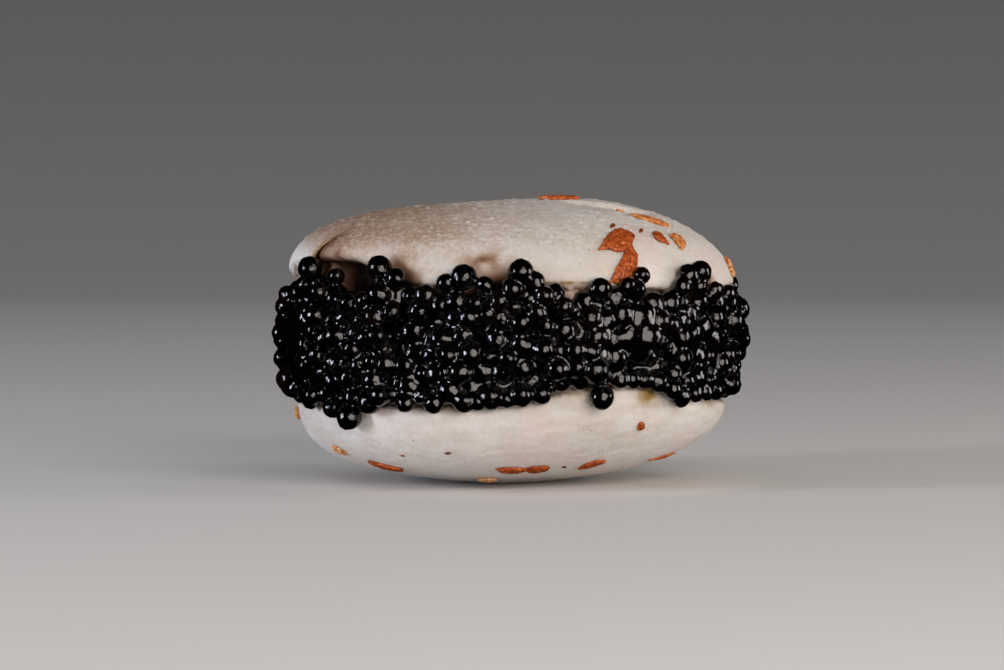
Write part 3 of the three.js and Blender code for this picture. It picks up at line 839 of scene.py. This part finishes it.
def heapedBeads():  # centres, radii and layers (0 standing, 1 outer, 2 behind) of every bead
    rng = random.Random(roe["seed"])
    beads = [(at, height, across / 2, 0, 0) for at, height, across in standing]
    uneven = roe["uneven"]
    for layer in (1, 2):
        rows, inRow = roe["rows"][layer], roe["inRow"][layer]
        for row in range(rows):
            for i in range(inRow):
                angle = 360 / inRow * (i + row / 2 + rng.uniform(-1, 1) * uneven["round"]) - 180
                wave = sum(tall * math.sin(math.radians(waves * angle + at))
                           for waves, tall, at in roe["rowWaves"])
                rise = (row + (wave + rng.uniform(-1, 1) * uneven["up"]) * (0 < row < rows - 1)) / (rows - 1)
                size = rng.uniform(*roe["radius"])
                low, high = lineAt(heapFoot, angle) + size, lineAt(heapTop, angle) - size
                deep = (layer - 1) * roe["behind"] + rng.uniform(-1, 1) * uneven["deep"]
                beads.append((angle, low + (high - low) * min(1, max(0, rise)), size, layer, deep))
    angle, height, size, layer, deep = np.array(beads, dtype=float).T
    deep -= (layer == 1) * roe["clumps"]["deep"] * lumps(polar(23, angle, height), roe["clumps"]["size"], 3)
    centre = polar(wantedRadius(angle, height, size, deep, layer < 2), angle, height)
    free = layer > 0
    # a standing bead that starts inside another takes its place
    apart = np.linalg.norm(centre[:, None] - centre[None], axis=2)
    taken = free & ((apart[:, ~free] < 0.5 * (size[:, None] + size[None, ~free])).any(axis=1)) & (layer < 2)
    keep = ~taken
    centre, size, layer, deep, free = centre[keep], size[keep], layer[keep], deep[keep], free[keep]
    stood = np.stack([angle, height], axis=1)[keep]  # a standing bead keeps its angle and height
    start = height[keep]
    for i in range(roe["passes"]):
        offset = centre[:, None] - centre[None]
        apart = np.linalg.norm(offset, axis=2) + np.eye(len(size)) * 9
        wanted = (size[:, None] + size[None]) * roe["overlap"]
        push = np.maximum(0, wanted - apart)
        push = (offset / apart[..., None] * push[..., None] * roe["push"]).sum(axis=1)
        centre += push * np.where(free, 1, 0.1)[:, None]
        angle = angleOf(centre)
        radius, height = radiusOf(centre), centre[:, 2]
        want = wantedRadius(angle, height, size, deep, layer < 2)
        radius += (want - radius) * roe["toBand"]
        low, high = lineAt(heapFoot, angle) + size, lineAt(heapTop, angle) - size
        low = np.where(layer == 2, np.maximum(low, lowestCaviar(angle) + size), low)
        high = np.where(layer == 2, np.minimum(high, highestCaviar(angle) - size), high)
        height += (start - height) * roe["toStart"]
        height = np.where(free, np.clip(height, low, high), stood[:, 1])
        angle = np.where(free, angle, stood[:, 0])
        for shell in (upperShell, lowerShell):
            radius, pushed = pushedOut(shell, radius, angle, height, size)
            height = np.where(free, pushed, height)
        centre = polar(radius, angle, height)
    return centre, size, layer, rng


def roeBall():  # one bead of radius 1
    piece, points = ballFromCube(roe["cuts"])
    points *= roe["fuller"] / np.linalg.norm(points, axis=1)[:, None]
    faces = np.array([tuple(face.vertices) for face in piece.data.polygons])
    bpy.data.objects.remove(piece)
    return points, faces


def roePiece(name, centres, sizes, tones, rng, squash):
    ball, faces = roeBall()
    points, tone = [], []
    for centre, size, dark in zip(centres, sizes, tones):
        axis = Vector([rng.uniform(-1, 1) for _ in range(3)]).normalized()
        turn = np.array(Matrix.Rotation(rng.uniform(0, 6.28), 3, axis))
        wide, long, thick = rng.uniform(-1, 1), rng.uniform(-1, 1), -rng.random()
        flat = 1 + squash * np.array([wide, long, thick])
        dented = ball
        if squash:
            dented = ball * (1 + roe["dents"] * lumps(ball + rng.uniform(0, 50), 0.9))[:, None]
        points.append((dented * flat) @ turn.T * size + centre)
        tone.append(np.full(len(ball), dark))
    points = pressedFlat(np.concatenate(points))
    mesh = bpy.data.meshes.new(name)
    every = (faces[None] + np.arange(len(centres))[:, None, None] * len(ball)).reshape(-1, 4)
    mesh.from_pydata((points * mm).tolist(), [], every.tolist())
    piece = bpy.data.objects.new(name, mesh)
    bpy.context.scene.collection.objects.link(piece)
    paint(piece, "tone", np.concatenate(tone))
    smoothShaded(piece)
    return piece


# the brine film: depth of its core's outer and inner side, thickness over wet beads, and its mesh
film = {"outer": 2, "inner": 3.6, "wetter": 0.06, "flatter": 0.6, "voxel": 0.2, "smoothing": 5,
        "hiddenBelow": 2.3, "hiddenShare": 0.03, "triangles": 190000}
core = {"radius": 21, "tube": 2, "roundness": 0.7, "tall": 0.44, "innerHeights": (11.2, 18.5)}
# clumps where the brine has drawn the beads together: at, height, spread round, spread up
wetClumps = [(-60, 16.5, 9, 4), (-34, 15, 12, 5), (-160, 15, 10, 5), (-112, 13, 6, 3),
             (10, 15, 14, 5), (50, 14, 10, 4), (88, 16, 12, 4), (122, 14, 9, 4), (155, 16, 9, 4)]


def wetness(points):  # 1 in the middle of a wet clump
    angle = angleOf(points)
    return np.max([spot(angle, points[:, 2], place) for place in wetClumps], axis=0)


def pressedFlat(points):  # in a wet clump the beads' outer sides level off
    angle = angleOf(points)
    radius = radiusOf(points)
    level = bandRadius(angle, np.clip(bandShare(angle, points[:, 2]), 0.05, 0.95)) - 0.35
    excess = np.maximum(0, radius - level)
    points[:, :2] *= (1 - film["flatter"] * wetness(points) * excess / radius)[:, None]
    return points


def brineCore():  # a ring behind the outer beads, so that no gap shows through the heap
    deselectAll()
    bpy.ops.mesh.primitive_torus_add(major_segments=240, minor_segments=28, major_radius=core["radius"] * mm,
                                     minor_radius=core["tube"] * mm)
    piece = bpy.context.object
    points = readPoints(piece)
    angle = angleOf(points)
    outward = (radiusOf(points) - core["radius"]) / core["tube"]
    upward = points[:, 2] / core["tube"]
    outward, upward = (np.sign(v) * np.abs(v) ** core["roundness"] for v in (outward, upward))
    share = 0.5 + core["tall"] * upward
    depth = (film["outer"] + film["inner"]) / 2 - outward * (film["inner"] - film["outer"]) / 2
    height = lowestCaviar(angle) + share * (highestCaviar(angle) - lowestCaviar(angle))
    height = np.clip(height, lineAt(heapFoot, angle) + 0.5, lineAt(heapTop, angle) - 0.9)
    inside = smoothStep(-outward, -0.4, 0.2)
    height = height * (1 - inside) + np.clip(height, *core["innerHeights"]) * inside
    movePoints(piece, polar(bandRadius(angle, share) - depth, angle, height))
    return piece


def brineFilm(beads):
    piece = joined([brineCore(), beads], "brineFilm")
    applyModifier(piece, "REMESH", mode="VOXEL", voxel_size=film["voxel"] * mm)
    applyModifier(piece, "SMOOTH", factor=0.5, iterations=film["smoothing"])
    points = readPoints(piece)
    angle = angleOf(points)
    depth = bandRadius(angle, np.clip(bandShare(angle, points[:, 2]), 0, 1)) - radiusOf(points)
    thinned(piece, depth > film["hiddenBelow"], film["hiddenShare"])
    now = sum(len(face.vertices) - 2 for face in piece.data.polygons)
    applyModifier(piece, "DECIMATE", ratio=min(1, film["triangles"] / now))
    piece = largestPart(piece)
    closedUp(piece)
    smoothShaded(piece)
    paint(piece, "tone", np.full(len(piece.data.vertices), 0.3))
    onTheMacaron(piece, brine, "caviar")


# The studio
studio = {"floorRadius": 800, "coveRadius": 900, "coveSteps": 12, "wallHeight": 900,
          "paleTo": 300, "greyFrom": 1700,  # the paper greys with distance
          "roomLight": 0.55}
softboxes = [  # name, shape, place, width, height, watts, colour
    ("keySoftbox", "DISK", (170, -390, 66), 380, 380, 1.7, "#fff6ee"),
    ("leftSoftbox", "RECTANGLE", (-370, -165, 70), 80, 150, 0.9, "#e9eeff"),
    ("rightSoftbox", "RECTANGLE", (420, -20, 60), 150, 190, 0.62, "#f6f1ee"),
]
view = {"aim": (-1.04, 0, 15.2), "elevation": 2, "distance": 400, "lens": 137.7, "sensor": 36}


def studioFloor():
    deselectAll()
    bpy.ops.mesh.primitive_circle_add(vertices=96, radius=studio["floorRadius"] * mm, fill_type="NGON")
    piece = bpy.context.object
    piece.name = "studioFloor"
    enter("EDIT")
    selectAll()
    bpy.ops.mesh.region_to_loop()
    steps, cove = studio["coveSteps"], studio["coveRadius"]
    leans = [math.pi / 2 * i / steps for i in range(steps + 1)]
    rings = [(studio["floorRadius"] + cove * math.sin(lean), cove * (1 - math.cos(lean))) for lean in leans]
    radius, height = rings[-1]
    growRings(rings + [(radius, height + studio["wallHeight"])])
    faceAll(inside=True)
    smoothShaded(piece)
    material, add = newMaterial("matt studio paper")
    onPiece = {"Vector": (add("TexCoord"), "Object")}
    away = add("VectorMath", {0: onPiece["Vector"]}, operation="LENGTH")
    far = add("MapRange", {"Value": (away, "Value")}, interpolation_type="SMOOTHSTEP",
              inputs={"From Min": studio["paleTo"] * mm, "From Max": studio["greyFrom"] * mm})
    fibres = add("TexNoise", onPiece, inputs={"Scale": 1 / (3 * mm), "Detail": 4})
    mixed = add("Math", {0: (fibres, "Fac"), 2: (far, "Result")}, operation="MULTIPLY_ADD", inputs={1: 0.03})
    colour = add("ValToRGB", {"Fac": (mixed, "Value")}, stops=[(0, "#edebe8"), (1, "#8f8d8b")])
    paper = add("BsdfPrincipled", {"Base Color": (colour, "Color")}, inputs={"Roughness": 0.9})
    add("OutputMaterial", {"Surface": (paper, "BSDF")})
    piece.data.materials.append(material)
    piece.visible_glossy = False  # black flags round the set keep the wet roe's reflections dark


def aimed(thing, target):
    thing.rotation_euler = (Vector(target) * mm - thing.location).to_track_quat("-Z", "Y").to_euler()


def studioLights():
    for name, shape, place, width, height, watts, colour in softboxes:
        deselectAll()
        bpy.ops.object.light_add(type="AREA", location=Vector(place) * mm)
        box = bpy.context.object
        box.name = name
        box.data.shape = shape
        box.data.size = width * mm
        if shape == "RECTANGLE":
            box.data.size_y = height * mm
        box.data.energy = watts
        box.data.color = linear(colour)[:3]
        box.visible_camera = False
        aimed(box, (0, 0, 15))
    bpy.context.scene.view_settings.view_transform = "Standard"
    world = bpy.data.worlds.new("studioRoom")
    bpy.context.scene.world = world
    world.use_nodes = True
    world.cycles_visibility.glossy = False
    sky = world.node_tree.nodes["Background"].inputs
    sky["Color"].default_value = linear("#e8e8ea")
    sky["Strength"].default_value = studio["roomLight"]


def studioCamera():
    lean = math.radians(view["elevation"])
    x, y, z = view["aim"]
    back = view["distance"]
    deselectAll()
    bpy.ops.object.camera_add(location=Vector((x, y - back * math.cos(lean), z + back * math.sin(lean))) * mm,
                              rotation=(math.pi / 2 - lean, 0, 0))
    camera = bpy.context.object
    camera.data.lens, camera.data.sensor_width = view["lens"], view["sensor"]
    camera.data.clip_start, camera.data.clip_end = 10 * mm, 10
    bpy.context.scene.camera = camera


meringue = bakedMeringue()
toasted = toastedFlake()
roeSkin = sturgeonRoe("sturgeon roe", {"roughness": 0.13, "coat": 0.35, "ripple": 0.6, "facets": 0.7})
brine = sturgeonRoe("sturgeon roe brine", {"roughness": 0.1, "coat": 0.35, "ripple": 0.3, "facets": 0.5})

upperPiece = bakedShell(upperShell)
lowerPiece = bakedShell(lowerShell)
print("shells done")
flakePiece(upperShell, upperPiece, "upperFlakes", flakes["upper"])
flakePiece(lowerShell, lowerPiece, "lowerFlakes", flakes["lower"])
print("flakes done")
centres, sizes, layers, rng = heapedBeads()
tones = np.array([rng.random() ** 1.5 for _ in sizes])
front = layers < 2
outerBeads = roePiece("roeOuterBeads", centres[front], sizes[front], tones[front], rng, roe["squash"])
onTheMacaron(outerBeads, roeSkin, "caviar")
innerBeads = roePiece("roeInnerBeads", centres[~front], sizes[~front], tones[~front], rng, roe["squash"])
onTheMacaron(innerBeads, roeSkin, "caviar")
wetSizes = sizes * (1 + film["wetter"] * wetness(centres))
brineFilm(roePiece("wetBeads", centres, wetSizes, tones, rng, 0))
print("caviar done:", len(sizes), "beads")
studioFloor()
studioLights()
studioCamera()
